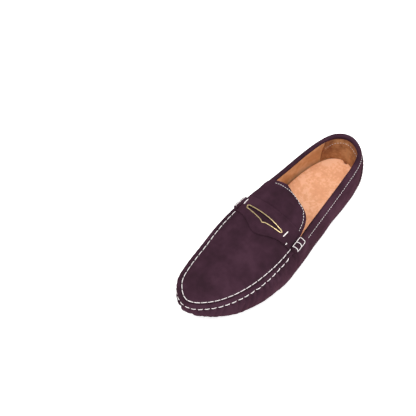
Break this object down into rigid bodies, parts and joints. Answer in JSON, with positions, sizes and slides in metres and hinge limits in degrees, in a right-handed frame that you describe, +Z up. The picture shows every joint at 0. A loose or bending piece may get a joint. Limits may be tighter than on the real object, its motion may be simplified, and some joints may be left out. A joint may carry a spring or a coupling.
{
  "type": "penny loafer",
  "caption": "Left penny loafer of the driving kind: one-piece nubuck upper with a moccasin seam, slotted strap, padded collar and lugged rubber pads in the leather bottom.",
  "frame": {"origin": "centre of the overall box in X and Y, on the ground plane under the rubber lugs", "axes": "+Y towards the heel, -Y towards the toe, +X towards the outer side of the foot, +Z up"},
  "size_m": [0.0994, 0.2892, 0.0821],
  "materials": {
    "nubuck": "matt brushed nubuck, burgundy",
    "lining": "smooth satin, tan",
    "footbed": "matt pigskin, peach",
    "tread_rubber": "satin black",
    "slot_trim": "polished pale gold",
    "thread": "waxed white thread",
    "foam": "cream open-cell padding",
    "fibreboard": "pressed brown fibreboard"
  },
  "bodies": {
    "root": {"wrap_upper": "nubuck", "apron": "nubuck", "penny_strap": "nubuck", "strap_roll_outer": "nubuck", "strap_roll_inner": "nubuck", "collar_binding": "nubuck", "heel_tab": "nubuck", "slot_trim": "slot_trim", "apron_lining": "lining", "vamp_lining": "lining", "quarter_lining": "lining", "heel_grip_lining": "lining", "heel_counter": "fibreboard", "insole_board": "fibreboard", "collar_foam": "foam", "footbed_foam": "foam", "footbed_sock": "footbed", "forefoot_outsole": "tread_rubber", "heel_outsole": "tread_rubber", "shank_pad_outer": "tread_rubber", "shank_pad_inner": "tread_rubber", "heel_guard": "tread_rubber", "moc_seam_thread_outer": "thread", "moc_seam_thread_inner": "thread", "collar_thread": "thread", "tongue_thread": "thread", "strap_thread_outer": "thread", "strap_thread_inner": "thread", "roll_thread_outer_1": "thread", "roll_thread_outer_2": "thread", "roll_thread_inner_1": "thread", "roll_thread_inner_2": "thread", "heel_tab_thread": "thread", "guard_thread": "thread", "heel_grip_thread": "thread", "forefoot_window_thread": "thread", "heel_window_thread": "thread", "shank_outer_window_thread": "thread", "shank_inner_window_thread": "thread"}
  },
  "joints": []
}
